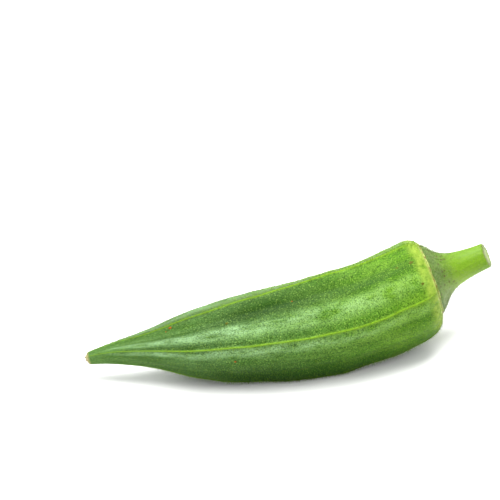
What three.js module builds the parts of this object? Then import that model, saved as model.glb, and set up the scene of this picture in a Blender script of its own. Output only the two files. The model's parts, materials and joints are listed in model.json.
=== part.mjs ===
// A fresh okra pod, as picked, lying on its side. Millimetres, +X from the tip towards the stem, +Z up.
// It is two grown pieces: the ribbed seed capsule, and the cone and cut stalk beyond the scar ring.

import * as THREE from "three";

// The capsule: a five-ribbed pod that swells from a narrow beak to a rounded shoulder.
const capsuleLength = 86.8;
const ribCount = 5;
// [distance from the tip, radius over the ribs] at the tip, the beak, the swell, the belly and the shoulder.
const ribRadius = [
  [0, 1.6],
  [6.9, 2.9],
  [15.4, 4.9],
  [27.4, 9.0],
  [42.4, 11.6],
  [57.4, 12.9],
  [70.4, 12.8],
  [79.4, 12.75],
  [86.8, 12.3],
];
const shoulderRounding = 2.6; // how far in the shoulder's quarter turn comes
const shoulderRoundingLength = 4.4; // and how far along the pod it takes
const tipRounding = 0.5;

// The cross-section: 0 is a circle and 1 a sharp, flat-sided pentagon.
const flatness = 0.68;
const beakFlatness = 0.42;
const shoulderFlatness = 0.34;
const ringFlatness = 0.2;
const softeningStarts = 0.68; // the share of the length where the faces start to fill out to the shoulder
const furrowDepth = 0.02; // of the radius; each face has a shallow furrow on either side of its middle
const furrowAngle = 19;
const furrowWidth = 7;

// The face that the pod lies on is flatter than the others, and its own weight presses it level.
const restingFace = 3; // counted from the front rib, upwards and over
const restingFlatness = 0.92;
const restingPress = 0.25;

// The ribs turn slowly along the pod, faster over the beak, where the upper rib crowds its neighbour, and
// back a little over the shoulder.
const ribTurn = 19.6;
const ribTwist = 5;
const beakTurn = 26;
const beakTurnLength = 11.5;
const shoulderTurn = -6;
const shoulderTurnStarts = 0.84; // a share of the length
const crowding = -29;

// The pod's gentle bend, in degrees along its length: start, slope and curvature of its two headings.
const climb = [13.3, -49.7, 54.4];
const sweep = [-14.5, 26.1, 4.4];
const beakDroop = 4; // the tip's own extra climb, which dies away as the tenth power of the share left
const shoulderClimb = 17.5;
const shoulderSweep = -4;
const bendEnds = 0.72; // the share of the length where the sections start to turn square to the shoulder

// The cone that the fallen calyx left, which narrows into the cut stalk.
const stemGap = 0.3;
const stemRadius = [
  [0, 8.9],
  [0.8, 8.4],
  [1.8, 7.4],
  [3.2, 6.1],
  [5.2, 4.9],
  [8, 4.0],
  [12, 3.4],
  [16.3, 3.1],
];
// The stalk climbs and sweeps by these angles, and it is cut on a slant.
const stalkClimb = 13;
const stalkSweep = 8;
const cutClimb = 30;
const cutSweep = -22;

// How finely each skin is divided, around and along. The capsule's points fall on its ribs.
const ringPoints = 50;
const bodyRings = 34;
const shoulderRings = 5;
const stemRingPoints = 30;
const stemRings = 20;

const degree = Math.PI / 180;
const sectorAngle = (2 * Math.PI) / ribCount;

// A smooth curve through [place, value] stations, which keeps each station's value.
function through(stations, place) {
  const last = stations.length - 1;
  const slope = (i) => {
    const [x0, y0] = stations[Math.max(i - 1, 0)];
    const [x1, y1] = stations[Math.min(i + 1, last)];
    return (y1 - y0) / (x1 - x0);
  };
  let i = 0;
  while (i < last - 1 && place > stations[i + 1][0]) i += 1;
  const [x0, y0] = stations[i];
  const [x1, y1] = stations[i + 1];
  const span = x1 - x0;
  const t = (place - x0) / span;
  const rise = t * t * (3 - 2 * t);
  const leave = t * (1 - t) * (1 - t) * span;
  const arrive = t * t * (t - 1) * span;
  return y0 + (y1 - y0) * rise + slope(i) * leave + slope(i + 1) * arrive;
}

function heading(climbAngle, sweepAngle) {
  const up = climbAngle * degree;
  const turn = sweepAngle * degree;
  return new THREE.Vector3(
    Math.cos(up) * Math.cos(turn),
    Math.cos(up) * Math.sin(turn),
    Math.sin(up),
  );
}

function bend([start, slope, curvature], share) {
  return start + slope * share + curvature * share * share;
}

function climbAt(share) {
  return bend(climb, share) + beakDroop * (1 - share) ** 10;
}

// The centre line, walked in small steps from the tip at the origin.
const walkSteps = 400;
const walk = [new THREE.Vector3()];
for (let i = 0; i < walkSteps; i += 1) {
  const share = (i + 0.5) / walkSteps;
  const step = heading(climbAt(share), bend(sweep, share));
  walk.push(walk[i].clone().addScaledVector(step, capsuleLength / walkSteps));
}

// The section plane at a distance from the tip: its centre, the way it faces, its side and its upward edge.
function sectionAt(distance) {
  const share = distance / capsuleLength;
  const place = Math.min(share * walkSteps, walkSteps - 1e-6);
  const centre = walk[Math.floor(place)].clone().lerp(walk[Math.floor(place) + 1], place % 1);
  const square = THREE.MathUtils.smoothstep(share, bendEnds, 1);
  const up = THREE.MathUtils.lerp(climbAt(share), shoulderClimb, square);
  const turn = THREE.MathUtils.lerp(bend(sweep, share), shoulderSweep, square);
  return { centre, ...planeFacing(up, turn) };
}

function planeFacing(up, turn) {
  const facing = heading(up, turn);
  const side = new THREE.Vector3(Math.sin(turn * degree), -Math.cos(turn * degree), 0);
  const top = new THREE.Vector3().crossVectors(side, facing);
  return { facing, side, top };
}

// How far the skin is from the centre, as a share of the rib's radius, at an angle round from the front rib.
function sectionShape(along, flat) {
  const half = sectorAngle / 2;
  const fromRib = along - sectorAngle * Math.round(along / sectorAngle);
  const pentagon = Math.cos(half) / Math.cos(half - Math.abs(fromRib));
  const flatShare = flat / flatness;
  const rests = Math.floor(along / sectorAngle) === restingFace;
  if (rests) return 1 - restingFlatness * flatShare * (1 - pentagon);
  const offFurrow = (Math.abs(fromRib) / degree - furrowAngle) / furrowWidth;
  const furrow = furrowDepth * flatShare * Math.exp(-offFurrow * offFurrow);
  return 1 - flat * (1 - pentagon) - furrow;
}

// One closed ring of skin: its points all lie in one section plane.
function capsuleRing(distance, radius, flat) {
  const share = distance / capsuleLength;
  const { centre, side, top } = sectionAt(distance);
  const overBeak = beakTurn * Math.exp(-((distance / beakTurnLength) ** 2));
  const overShoulder = shoulderTurn * THREE.MathUtils.smoothstep(share, shoulderTurnStarts, 1);
  const turn = ribTurn + ribTwist * (share - 0.5) + overBeak + overShoulder;
  const crowd = crowding * (1 - share) ** 2;
  const ring = [];
  for (let i = 0; i < ringPoints; i += 1) {
    const along = (i * 2 * Math.PI) / ringPoints;
    const fromUpperRib = Math.min(Math.abs(along - sectorAngle) / sectorAngle, 1);
    const shift = crowd * Math.cos((fromUpperRib * Math.PI) / 2) ** 2;
    const angle = (turn + shift) * degree + along;
    const reach = radius * sectionShape(along, flat);
    const out = side.clone().multiplyScalar(Math.cos(angle)).addScaledVector(top, Math.sin(angle));
    ring.push(centre.clone().addScaledVector(out, reach));
  }
  return ring;
}

// A closed solid through rings of points, each joined to the next, with its two ends filled flat.
function skin(rings) {
  const count = rings[0].length;
  const points = rings.flat();
  const faces = [];
  for (let r = 0; r < rings.length - 1; r += 1) {
    for (let i = 0; i < count; i += 1) {
      const a = r * count + i;
      const b = r * count + ((i + 1) % count);
      faces.push(a, b + count, b, a, a + count, b + count);
    }
  }
  for (const [ring, flip] of [[0, false], [rings.length - 1, true]]) {
    const middle = points.length;
    const sum = rings[ring].reduce((total, point) => total.add(point), new THREE.Vector3());
    points.push(sum.divideScalar(count));
    for (let i = 0; i < count; i += 1) {
      const a = ring * count + i;
      const b = ring * count + ((i + 1) % count);
      faces.push(...(flip ? [b, a, middle] : [a, b, middle]));
    }
  }
  const geometry = new THREE.BufferGeometry().setFromPoints(points);
  geometry.setIndex(faces);
  geometry.computeVertexNormals();
  return geometry;
}

// How flat the faces are: softer over the beak, and softer again towards the shoulder.
function flatnessAt(distance) {
  const share = distance / capsuleLength;
  const body = THREE.MathUtils.lerp(flatness, beakFlatness, (1 - share) ** 2);
  return THREE.MathUtils.lerp(body, shoulderFlatness, THREE.MathUtils.smoothstep(share, softeningStarts, 1));
}

// The capsule's rings: a rounded tip, even steps along the pod, then a quarter turn over the shoulder.
// Points that would lie below the level it rests on are pressed up to it.
function capsuleGeometry() {
  const rings = [capsuleRing(0, ribRadius[0][1] - tipRounding, beakFlatness)];
  const straightEnd = capsuleLength - shoulderRoundingLength;
  for (let i = 0; i <= bodyRings; i += 1) {
    const distance = THREE.MathUtils.lerp(tipRounding, straightEnd, i / bodyRings);
    rings.push(capsuleRing(distance, through(ribRadius, distance), flatnessAt(distance)));
  }
  for (let i = 1; i <= shoulderRings; i += 1) {
    const turn = ((i / shoulderRings) * Math.PI) / 2;
    const distance = straightEnd + shoulderRoundingLength * Math.sin(turn);
    const radius = through(ribRadius, distance) - shoulderRounding * (1 - Math.cos(turn));
    const flat = THREE.MathUtils.lerp(flatnessAt(distance), ringFlatness, 1 - Math.cos(turn));
    rings.push(capsuleRing(distance, radius, flat));
  }
  const points = rings.flat();
  const floor = Math.min(...points.map((point) => point.z)) + restingPress;
  for (const point of points) point.z = Math.max(point.z, floor);
  return skin(rings);
}

// The rings are closer together in the cone's tight curve than along the stalk.
function stemGeometry() {
  const { centre, facing } = sectionAt(capsuleLength);
  const foot = centre.clone().addScaledVector(facing, stemGap);
  const length = stemRadius[stemRadius.length - 1][0];
  const base = planeFacing(shoulderClimb, shoulderSweep);
  const cut = planeFacing(cutClimb, cutSweep);
  const line = heading(stalkClimb, stalkSweep);
  const rings = [];
  for (let r = 0; r <= stemRings; r += 1) {
    const share = (r / stemRings) ** 1.5;
    const distance = share * length;
    const radius = through(stemRadius, distance);
    const middle = foot.clone().addScaledVector(line, distance);
    const side = base.side.clone().lerp(cut.side, share);
    const top = base.top.clone().lerp(cut.top, share);
    const ring = [];
    for (let i = 0; i < stemRingPoints; i += 1) {
      const angle = (i * 2 * Math.PI) / stemRingPoints;
      const out = side.clone().multiplyScalar(Math.cos(angle)).addScaledVector(top, Math.sin(angle));
      ring.push(middle.clone().addScaledVector(out, radius));
    }
    rings.push(ring);
  }
  return skin(rings);
}

const podSkin = new THREE.MeshStandardMaterial({ color: 0x4f8a2b, roughness: 0.55, metalness: 0 });
const stemSkin = new THREE.MeshStandardMaterial({ color: 0x86b347, roughness: 0.5, metalness: 0 });

const pod = new THREE.Mesh(capsuleGeometry(), podSkin);
pod.name = "pod";
const stem = new THREE.Mesh(stemGeometry(), stemSkin);
stem.name = "stem";

// The finished object is moved so that the middle of its box's underside is the origin.
const okra = new THREE.Group();
okra.add(pod, stem);
const box = new THREE.Box3().setFromObject(okra);
const middle = box.getCenter(new THREE.Vector3());
for (const piece of [pod, stem]) piece.position.set(-middle.x, -middle.y, -box.min.z);

export default okra;
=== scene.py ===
# %% [markdown]
# # A fresh okra pod
#
# This lesson builds one okra pod, as picked, lying on a pale table. It is a seed capsule with five ribs,
# a narrow beak and a rounded shoulder, then the fuzzy cone and cut stalk beyond the scar ring.
#
# A pod could be sculpted by hand, or lofted through drawn outlines. Here every surface is a function of
# two numbers, how far along the pod and how far round it, worked out for a whole grid at once. That keeps
# the ribs, the furrows, the fuzz and the colours in step, because they all read the same two numbers.
#
# The fixed model holds the size and place. Lengths are in millimetres until a mesh is made.

# %% Load the fixed model
import json

import bpy
import numpy as np
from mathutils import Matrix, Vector

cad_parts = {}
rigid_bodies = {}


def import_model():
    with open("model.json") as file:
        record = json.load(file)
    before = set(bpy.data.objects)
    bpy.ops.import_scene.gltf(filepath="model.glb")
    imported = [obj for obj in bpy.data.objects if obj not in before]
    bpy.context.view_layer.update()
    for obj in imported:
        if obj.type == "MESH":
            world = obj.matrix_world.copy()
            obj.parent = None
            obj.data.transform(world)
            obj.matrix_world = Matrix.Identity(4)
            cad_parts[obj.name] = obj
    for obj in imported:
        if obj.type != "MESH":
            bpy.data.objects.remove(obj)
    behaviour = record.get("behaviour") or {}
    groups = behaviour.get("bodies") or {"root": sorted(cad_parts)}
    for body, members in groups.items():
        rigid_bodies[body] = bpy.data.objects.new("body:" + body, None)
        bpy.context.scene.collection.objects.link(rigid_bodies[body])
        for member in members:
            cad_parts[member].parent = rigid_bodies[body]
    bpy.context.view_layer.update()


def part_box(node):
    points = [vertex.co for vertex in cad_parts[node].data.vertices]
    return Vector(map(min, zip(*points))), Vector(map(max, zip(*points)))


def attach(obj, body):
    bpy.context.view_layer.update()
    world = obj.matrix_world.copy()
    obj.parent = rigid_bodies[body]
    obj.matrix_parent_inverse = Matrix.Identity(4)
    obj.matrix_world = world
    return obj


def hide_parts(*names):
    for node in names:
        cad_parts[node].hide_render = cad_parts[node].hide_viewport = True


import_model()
MM = 0.001

# %% [markdown]
# ## The centre line
#
# A pod grows as a gently bent tube. Its bend is two headings, a climb and a sideways sweep, that change
# smoothly with the share of the length. Walking along those headings in small steps gives the centre line.
# A Bezier curve object would do as well, but headings give the section planes for nothing.

# %% Smooth curves through a few stations
def through(stations, place):
    """A cubic Hermite curve through [place, value] stations.

    The slope at a station is that of the chord between its neighbours.
    """
    at, value = np.array(stations, float).T
    before = np.maximum(np.arange(len(at)) - 1, 0)
    after = np.minimum(np.arange(len(at)) + 1, len(at) - 1)
    slope = (value[after] - value[before]) / (at[after] - at[before])
    i = np.clip(np.searchsorted(at, place, side="right") - 1, 0, len(at) - 2)
    span = at[i + 1] - at[i]
    t = (place - at[i]) / span
    rise = t * t * (3 - 2 * t)
    leave = t * (1 - t) ** 2 * span
    arrive = t * t * (t - 1) * span
    return value[i] + (value[i + 1] - value[i]) * rise + slope[i] * leave + slope[i + 1] * arrive


def smooth(start, end, x):
    """0 before start, 1 after end, and the smoothstep 3t^2 - 2t^3 between them."""
    t = np.clip((x - start) / (end - start), 0, 1)
    return t * t * (3 - 2 * t)


print("smoothstep a quarter of the way along:", float(smooth(0, 4, 1)))

# %% Walk along the pod
CAPSULE_LENGTH = 86.8
CLIMB = (13.3, -49.7, 54.4)
SWEEP = (-14.5, 26.1, 4.4)
BEAK_DROOP = 4
SHOULDER_CLIMB, SHOULDER_SWEEP = 17.5, -4
BEND_ENDS = 0.72
WALK_STEPS = 400


def heading(climb, sweep):
    """The unit vector that climbs and sweeps by those angles, in degrees, from +X."""
    up, turn = np.radians(climb), np.radians(sweep)
    return np.stack([np.cos(up) * np.cos(turn), np.cos(up) * np.sin(turn), np.sin(up)], -1)


def bend(terms, share):
    """A parabola: start + slope * share + curvature * share squared."""
    return terms[0] + terms[1] * share + terms[2] * share**2


def climb_at(share):
    """The climb's parabola plus the beak's droop, which dies away as the tenth power of the share left."""
    return bend(CLIMB, share) + BEAK_DROOP * (1 - share) ** 10


walk_share = (np.arange(WALK_STEPS) + 0.5) / WALK_STEPS
walk_steps = heading(climb_at(walk_share), bend(SWEEP, walk_share)) * CAPSULE_LENGTH / WALK_STEPS
walk = np.concatenate([np.zeros((1, 3)), np.cumsum(walk_steps, axis=0)])
print("the shoulder is", walk[-1].round(1), "mm from the tip")


# %% Section planes
def plane_facing(climb, sweep):
    """A section plane's normal, its side, level and towards -Y, and the direction square to both."""
    facing = heading(climb, sweep)
    turn = np.radians(sweep)
    side = np.stack([np.sin(turn), -np.cos(turn), np.zeros_like(turn)], -1)
    return facing, side, np.cross(side, facing)


def section_at(distance):
    """Centre and plane at a distance from the tip.

    The centre is the walk's place there, and the plane faces its heading, eased to the shoulder's own.
    """
    share = np.asarray(distance, float) / CAPSULE_LENGTH
    steps = np.linspace(0, 1, WALK_STEPS + 1)
    centre = np.stack([np.interp(share, steps, walk[:, axis]) for axis in range(3)], -1)
    square = smooth(BEND_ENDS, 1, share)
    climb = climb_at(share) * (1 - square) + SHOULDER_CLIMB * square
    sweep = bend(SWEEP, share) * (1 - square) + SHOULDER_SWEEP * square
    return (centre, *plane_facing(climb, sweep))


print("the middle section is centred at", section_at(CAPSULE_LENGTH / 2)[0].round(1), "mm")

# %% [markdown]
# ## The skin of the capsule
#
# Across the pod the skin is a soft pentagon. Each rib is a fine raised line on a rounded crest, each face
# has a shallow furrow on either side of its middle, and seeds press faintly from inside. Displacement
# in a shader could draw all this, but then it would be missing from the mesh, so it is real shape here.
#
# The face that the pod lies on is flatter than the others, and is pressed level against the table.

# %% The section's shape
RIB_COUNT = 5
SECTOR = 2 * np.pi / RIB_COUNT
RIB_RADIUS = [[0, 1.6], [6.9, 2.9], [15.4, 4.9], [27.4, 9.0], [42.4, 11.6], [57.4, 12.9], [70.4, 12.8],
              [79.4, 12.75], [86.8, 12.3]]
SHOULDER_ROUNDING, SHOULDER_ROUNDING_LENGTH = 2.6, 4.4
FLATNESS, BEAK_FLATNESS, SHOULDER_FLATNESS, RING_FLATNESS = 0.68, 0.42, 0.34, 0.2
SOFTENING_STARTS = 0.68
RESTING_FACE, RESTING_FLATNESS, RESTING_PRESS = 3, 0.92, 0.25
CREST_SOFTNESS = np.radians(2.0)
RIB_LINE_HEIGHT, RIB_LINE_WIDTH, RIB_LINE_FULL_RADIUS = 0.15, np.radians(0.8), 6
FURROW_DEPTH, FURROW_ANGLE, FURROW_WIDTH = 0.026, np.radians(19), np.radians(7)
RIB_TURN, RIB_TWIST, CROWDING = 19.6, 5, -29
BEAK_TURN, BEAK_TURN_LENGTH = 26, 11.5
SHOULDER_TURN, SHOULDER_TURN_STARTS = -6, 0.84
chance = np.random.default_rng(7)


def from_nearest_rib(along):
    """The signed angle to the nearest rib, from the angle round the pod that starts at the front rib."""
    return along - SECTOR * np.round(along / SECTOR)


def furrow_at(along):
    """1 along the middle of each furrow and 0 away from it: a bell curve of the angle from the furrow."""
    off = (np.abs(from_nearest_rib(along)) - FURROW_ANGLE) / FURROW_WIDTH
    return np.exp(-(off**2))


def section_shape(along, flat):
    """Reach of the skin as a share of the rib's: a circle eased towards a pentagon, less the furrows.

    The pentagon is cos(half) / cos(half - angle from the rib), with that angle rounded off at the crest.
    """
    half = SECTOR / 2
    crest = np.hypot(from_nearest_rib(along), CREST_SOFTNESS) - CREST_SOFTNESS
    pentagon = np.cos(half) / np.cos(half - crest)
    rests = np.floor((along % (2 * np.pi)) / SECTOR) == RESTING_FACE
    flat_share = flat / FLATNESS
    face = 1 - flat * (1 - pentagon) - FURROW_DEPTH * flat_share * furrow_at(along)
    return np.where(rests, 1 - RESTING_FLATNESS * flat_share * (1 - pentagon), face)


face_middle = section_shape(np.array([SECTOR / 2]), FLATNESS)
print("the middle of a face reaches", face_middle.round(3), "of what its ribs reach")


# %% Small unevenness
def waves(distance, count, longest):
    """A gentle random wave along the pod: a sum of sines, each shorter and weaker than the one before."""
    total = np.zeros_like(distance)
    for k in range(1, count + 1):
        total += np.sin(2 * np.pi * k * distance / longest + chance.uniform(0, 2 * np.pi)) / k
    return total


SEED_SPACING, SEED_BULGE, SEED_STAGGER = 5.4, 0.11, 1.7
SEED_ROW, SEED_WIDTH = np.radians(8), np.radians(5)
SEEDS_BEGIN, SEEDS_END = (18, 34), (74, 82)


def seed_bulges(distance, along):
    """Faint bulges over the seeds, in mm: two rows on each face, a sine squared along and a bell across."""
    from_middle = np.abs(np.abs(from_nearest_rib(along)) - SECTOR / 2)
    across = np.exp(-(((from_middle - SEED_ROW) / SEED_WIDTH) ** 2))
    phase = np.floor((along % (2 * np.pi)) / (SECTOR / 2)) * SEED_STAGGER
    rows = np.sin(np.pi * distance / SEED_SPACING + phase) ** 2
    return SEED_BULGE * rows * across * smooth(*SEEDS_BEGIN, distance) * (1 - smooth(*SEEDS_END, distance))


DENT_HEIGHT, DENT_COUNT, DENT_MOST_TURNS = 0.10, 14, 7
DENT_SHORTEST, DENT_LONGEST = 7, 26
DENTS_BEGIN, DENTS_END = (8, 26), (80, 86)
dent_length = chance.uniform(DENT_SHORTEST, DENT_LONGEST, DENT_COUNT)
dent_turns = chance.integers(-DENT_MOST_TURNS, DENT_MOST_TURNS + 1, DENT_COUNT)
dent_start = chance.uniform(0, 2 * np.pi, DENT_COUNT)


def soft_dents(distance, along):
    """Gentle dents, in mm: a sum of slanting waves, each with its own length along and number round."""
    phase = 2 * np.pi * distance[..., None] / dent_length + along[..., None] * dent_turns + dent_start
    fade = smooth(*DENTS_BEGIN, distance) * (1 - smooth(*DENTS_END, distance))
    return DENT_HEIGHT * fade * np.sin(phase).sum(-1) / np.sqrt(DENT_COUNT)


print("dents:", DENT_COUNT, "waves, mm long:", np.sort(dent_length).round(1))


# %% Points of the skin
def capsule_points(distance, along, radius, flat, wiggle):
    """Skin points: the centre plus the section's reach, turned by the ribs' twist and crowding.

    distance, radius and flat are columns, along is a row, and wiggle is a small angle for every point.
    """
    share = distance / CAPSULE_LENGTH
    turn = RIB_TURN + RIB_TWIST * (share - 0.5) + BEAK_TURN * np.exp(-((distance / BEAK_TURN_LENGTH) ** 2))
    turn = turn + SHOULDER_TURN * smooth(SHOULDER_TURN_STARTS, 1, share)
    near_upper = np.minimum(np.abs(along - SECTOR) / SECTOR, 1)
    crowd = CROWDING * (1 - share) ** 2 * np.cos(near_upper * np.pi / 2) ** 2
    angle = np.radians(turn + crowd) + along + wiggle
    rib_line = RIB_LINE_HEIGHT * np.exp(-((from_nearest_rib(along) / RIB_LINE_WIDTH) ** 2))
    rib_line = rib_line * np.minimum(radius / RIB_LINE_FULL_RADIUS, 1)
    reach = radius * section_shape(along, flat) + rib_line
    reach = reach + seed_bulges(distance, along) + soft_dents(distance, along)
    centre, _, side, top = section_at(distance[:, 0])
    out = np.cos(angle)[..., None] * side[:, None] + np.sin(angle)[..., None] * top[:, None]
    return centre[:, None] + reach[..., None] * out


ROUND_POINTS, BODY_ROWS, TIP_ROWS, SHOULDER_ROWS, CAP_ROWS = 240, 350, 8, 16, 10
print("rings on the body:", BODY_ROWS, "over", CAPSULE_LENGTH, "mm")

# %% The capsule's grid
TIP_ROUNDING = 0.5
CAP_EDGE, CAP_END, CAP_DIP = 8.8, 0.4, 0.35
CROWDING_AT_RIBS = 0.82
RIB_WANDER, RIB_WAVES, RIB_LONGEST_WAVE = np.radians(0.28), 6, 40


def crowded_at_ribs(points):
    """Angles round the pod, closer together at the ribs: t - a sin(2 pi t) / 2 pi within each sector."""
    t = np.arange(points) / points * RIB_COUNT
    inside = t % 1
    return SECTOR * (np.floor(t) + inside - CROWDING_AT_RIBS * np.sin(2 * np.pi * inside) / (2 * np.pi))


def capsule_rows():
    """Distance, radius and flatness of every ring: round tip, body, quarter turn over the shoulder, end."""
    straight_end = CAPSULE_LENGTH - SHOULDER_ROUNDING_LENGTH
    tip_turn = np.linspace(0, np.pi / 2, TIP_ROWS, endpoint=False)
    tip = TIP_ROUNDING * (1 - np.cos(tip_turn))
    body = np.linspace(TIP_ROUNDING, straight_end, BODY_ROWS, endpoint=False)
    turn = np.linspace(0, np.pi / 2, SHOULDER_ROWS)
    shoulder = straight_end + SHOULDER_ROUNDING_LENGTH * np.sin(turn)
    end = through(RIB_RADIUS, CAPSULE_LENGTH) - SHOULDER_ROUNDING
    cap_radius = np.linspace(end, CAP_END, CAP_ROWS + 1)[1:]
    dip = CAP_DIP * smooth(end, CAP_EDGE, cap_radius)
    distance = np.concatenate([tip, body, shoulder, CAPSULE_LENGTH - dip])
    radius = np.concatenate([
        through(RIB_RADIUS, tip) - TIP_ROUNDING * (1 - np.sin(tip_turn)),
        through(RIB_RADIUS, body),
        through(RIB_RADIUS, shoulder) - SHOULDER_ROUNDING * (1 - np.cos(turn)),
        cap_radius,
    ])
    lean = (1 - distance / CAPSULE_LENGTH) ** 2
    flat = FLATNESS + (BEAK_FLATNESS - FLATNESS) * lean
    flat = flat + (SHOULDER_FLATNESS - flat) * smooth(SOFTENING_STARTS, 1, distance / CAPSULE_LENGTH)
    over = np.concatenate([np.zeros(TIP_ROWS + BODY_ROWS), 1 - np.cos(turn), np.ones(CAP_ROWS)])
    flat = flat + (RING_FLATNESS - flat) * over
    return distance[:, None], radius[:, None], flat[:, None], over[:, None]


along = crowded_at_ribs(ROUND_POINTS)[None, :]
distance, radius, flat, over = capsule_rows()
rib_waves = np.stack([waves(distance[:, 0], RIB_WAVES, RIB_LONGEST_WAVE) for _ in range(RIB_COUNT)])
nearest = (np.round(along[0] / SECTOR).astype(int)) % RIB_COUNT
nearness = np.cos(np.pi * from_nearest_rib(along) / SECTOR) ** 2
wiggle = RIB_WANDER * rib_waves[nearest].T * nearness
skin = capsule_points(distance, along, radius, flat, wiggle)
print("capsule grid", skin.shape[:2], "rows by points round")

# %% [markdown]
# ## Setting the pod down
#
# The grid is still at the tip's own origin. The fixed model's box says where it lies: its low end gives
# x, its middle gives y, and the level that the lowest skin is pressed to is the table.

# %% Into the frame
pod_low, pod_high = (np.array(corner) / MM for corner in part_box("pod"))
rest_level = skin[..., 2].min() + RESTING_PRESS
shift = np.array([
    pod_low[0] - skin[..., 0].min(),
    (pod_low[1] + pod_high[1] - skin[..., 1].min() - skin[..., 1].max()) / 2,
    -rest_level,
])


def set_down(points):
    """Moves points from the tip's origin to their place, and lifts any below the table to it."""
    placed = points + shift
    placed[..., 2] = np.maximum(placed[..., 2], 0.0)
    return placed


skin = set_down(skin)
print("moved by", shift.round(2), "mm; pressed points:", int((skin[..., 2] == 0).sum()))

# %% [markdown]
# ## The camera
#
# A camera is an object like any other: a place and a turn. This one looks down on the pod from the front
# and a little towards the tip's side, through a long lens, which keeps the far end from looking small. It
# aims above the pod, so the pod lies low in the picture. Its turn could be typed as three angles, but
# pointing it from a place at an aim is easier to read.

# %% Camera
AZIMUTH, ELEVATION = np.radians(-13.25), np.radians(28.5)
CAMERA_DISTANCE, LENS, SENSOR, CLIP_START = 292.5, 90, 36, 0.01
AIM = np.array([39.35, -0.82, 24.88]) + shift
back = np.array([
    np.sin(AZIMUTH) * np.cos(ELEVATION),
    -np.cos(AZIMUTH) * np.cos(ELEVATION),
    np.sin(ELEVATION),
])
camera = bpy.data.objects.new("camera", bpy.data.cameras.new("camera"))
camera.data.sensor_width = SENSOR
camera.data.lens = LENS
camera.data.clip_start = CLIP_START
camera.location = (AIM + back * CAMERA_DISTANCE) * MM
camera.rotation_mode = "QUATERNION"
camera.rotation_quaternion = Vector(-back).to_track_quat("-Z", "Y")
bpy.context.scene.collection.objects.link(camera)
bpy.context.scene.camera = camera
print("camera at, mm:", (AIM + back * CAMERA_DISTANCE).round(1))

# %% [markdown]
# ## From a grid to a mesh
#
# A closed skin is a grid whose last column joins its first, with a fan of triangles over each end. The
# mesh keeps a UV map that unrolls the grid, and each point keeps its numbers as attributes, which the
# materials read: that is how a colour follows a rib. The mesh could also be made a face at a time with
# bmesh, which is slower than handing over whole arrays.

# %% Mesh helpers
UV_MARGIN = 0.02


def closed_skin(name, grid, attributes=None):
    """A mesh piece from a grid in mm: quads between the rings, and a fan to the middle of each end ring.

    The UV map runs round the grid in u and along it in v.
    """
    rows, columns, _ = grid.shape
    points = np.concatenate([grid.reshape(-1, 3), [grid[0].mean(0)], [grid[-1].mean(0)]])
    row, column = (a.ravel() for a in np.mgrid[0 : rows - 1, 0:columns])
    beside = (column + 1) % columns
    quads = np.stack([row * columns + column, row * columns + beside,
                      (row + 1) * columns + beside, (row + 1) * columns + column], -1)[:, ::-1]
    c = np.arange(columns)
    first = np.stack([c, (c + 1) % columns, np.full(columns, rows * columns)], -1)
    last = np.stack([(c + 1) % columns, c, np.full(columns, 0)], -1) + (rows - 1) * columns
    last[:, 2] = rows * columns + 1
    loops = np.concatenate([quads.ravel(), first.ravel(), last.ravel()])
    totals = np.concatenate([np.full(len(quads), 4), np.full(2 * columns, 3)])
    mesh = bpy.data.meshes.new(name)
    mesh.vertices.add(len(points))
    mesh.vertices.foreach_set("co", (points * MM).ravel())
    mesh.loops.add(len(loops))
    mesh.loops.foreach_set("vertex_index", loops.astype(np.int32))
    mesh.polygons.add(len(totals))
    starts = np.concatenate([[0], np.cumsum(totals)[:-1]])
    mesh.polygons.foreach_set("loop_start", starts.astype(np.int32))
    mesh.update(calc_edges=True)
    mesh.polygons.foreach_set("use_smooth", np.ones(len(totals), bool))
    step = np.concatenate([[0], np.cumsum(np.linalg.norm(np.diff(grid, axis=0), axis=-1).max(1))])
    height = UV_MARGIN + (1 - 2 * UV_MARGIN) * step / step[-1]
    quad_u = np.stack([column, column + 1, column + 1, column], -1)[:, ::-1] / columns
    quad_v = np.stack([height[row], height[row], height[row + 1], height[row + 1]], -1)[:, ::-1]
    first_uv = np.stack([np.stack([c, c + 1, c + 0.5], -1) / columns,
                         np.tile([height[0], height[0], 0.0], (columns, 1))], -1)
    last_uv = np.stack([np.stack([c + 1, c, c + 0.5], -1) / columns,
                        np.tile([height[-1], height[-1], 1.0], (columns, 1))], -1)
    quad_uv = np.stack([quad_u, quad_v], -1)
    unrolled = np.concatenate([quad_uv.reshape(-1, 2), first_uv.reshape(-1, 2), last_uv.reshape(-1, 2)])
    mesh.uv_layers.new(name="OFBake").data.foreach_set("uv", unrolled.astype(np.float32).ravel())
    for key, values in (attributes or {}).items():
        store(mesh, key, values, rows, columns)
    return to_scene(name, mesh)


def store(mesh, key, values, rows, columns):
    """Saves a grid of numbers, or of vectors, on the points: each end's middle takes its ring's average."""
    vector = values.ndim == 3
    flat_values = values.reshape(rows * columns, -1)
    ends = np.stack([flat_values[:columns].mean(0), flat_values[-columns:].mean(0)])
    data = np.concatenate([flat_values, ends]).astype(np.float32)
    layer = mesh.attributes.new(key, "FLOAT_VECTOR" if vector else "FLOAT", "POINT")
    layer.data.foreach_set("vector" if vector else "value", data.ravel())


def to_scene(name, mesh):
    """Links a mesh as a piece that rides on the pod's one body."""
    piece = bpy.data.objects.new(name, mesh)
    bpy.context.scene.collection.objects.link(piece)
    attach(piece, "root")
    return piece


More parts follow.
